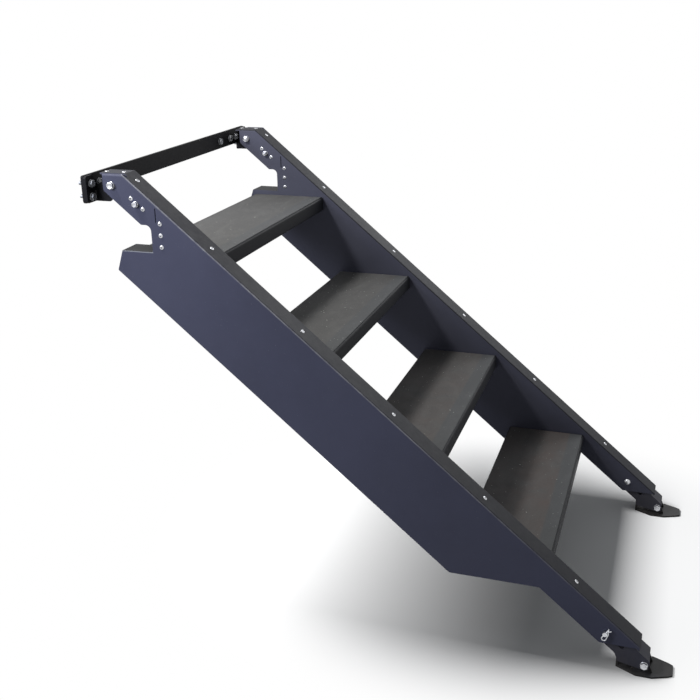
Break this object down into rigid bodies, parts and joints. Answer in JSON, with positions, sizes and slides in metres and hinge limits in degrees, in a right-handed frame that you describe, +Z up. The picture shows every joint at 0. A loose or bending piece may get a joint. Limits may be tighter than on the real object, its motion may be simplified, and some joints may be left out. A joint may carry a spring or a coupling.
{
  "type": "folding entry step",
  "caption": "Folding flight of entry steps for a caravan or camper door, with boxed stringers, a pivoting sill plate, sliding legs and tilting feet.",
  "frame": {"origin": "on the wall plane, at the centre of the four bracket bolts", "axes": "+X to the right of a person who faces the door, +Y into the vehicle, +Z up"},
  "size_m": [0.749, 1.1978, 0.9351],
  "materials": {
    "panel": "dark slate blue powder coat over sheet aluminium",
    "tread": "black powder coat",
    "grip": "fine grey grit",
    "dark_steel": "black powder coat",
    "zinc": "bright zinc plate",
    "bush": "sintered bronze"
  },
  "bodies": {
    "mount": {"mounting_plate": "dark_steel", "hinge_bracket_left": "dark_steel", "hinge_bracket_right": "dark_steel", "bracket_bolts": "zinc", "plate_bolts": "zinc", "pivot_bush_left": "bush", "pivot_bush_right": "bush"},
    "steps": {"pivot_bolt_left": "zinc", "pivot_bolt_right": "zinc", "pivot_nut_left": "zinc", "pivot_nut_right": "zinc", "pivot_spacer_left": "zinc", "pivot_spacer_right": "zinc", "outer_panel_left": "panel", "outer_panel_right": "panel", "inner_channel_left": "panel", "inner_channel_right": "panel", "arm_doubler_left": "dark_steel", "arm_doubler_right": "dark_steel", "arm_bolt_left": "zinc", "arm_bolt_right": "zinc", "arm_nut_left": "zinc", "arm_nut_right": "zinc", "arm_rivets_left": "zinc", "arm_rivets_right": "zinc", "flange_rivets_left": "zinc", "flange_rivets_right": "zinc", "lock_pin_left": "zinc", "lock_pin_right": "zinc", "hairpin_left": "zinc", "hairpin_right": "zinc", "tread_1": "tread", "tread_2": "tread", "tread_3": "tread", "tread_4": "tread", "tread_grip_1": "grip", "tread_grip_2": "grip", "tread_grip_3": "grip", "tread_grip_4": "grip"},
    "leg_left": {"leg_left": "panel", "foot_bolt_left": "zinc", "foot_nut_left": "zinc"},
    "foot_left": {"foot_left": "dark_steel"},
    "leg_right": {"leg_right": "panel", "foot_bolt_right": "zinc", "foot_nut_right": "zinc"},
    "foot_right": {"foot_right": "dark_steel"}
  },
  "joints": [
    {"name": "step_swing", "type": "hinge", "parent": "mount", "child": "steps", "pos_m": [0, -0.05, 0.009], "axis": [-1, 0, 0], "range_deg": [0, 130]},
    {"name": "leg_slide_left", "type": "slide", "parent": "steps", "child": "leg_left", "axis": [0, -0.7667, -0.642], "range_m": [-0.035, 0.12]},
    {"name": "leg_slide_right", "type": "slide", "parent": "steps", "child": "leg_right", "axis": [0, -0.7667, -0.642], "range_m": [-0.035, 0.12]},
    {"name": "foot_tilt_left", "type": "hinge", "parent": "leg_left", "child": "foot_left", "pos_m": [-0.321, -1.12881, -0.881], "axis": [1, 0, 0], "range_deg": [-18, 18]},
    {"name": "foot_tilt_right", "type": "hinge", "parent": "leg_right", "child": "foot_right", "pos_m": [0.321, -1.12881, -0.881], "axis": [1, 0, 0], "range_deg": [-18, 18]}
  ]
}
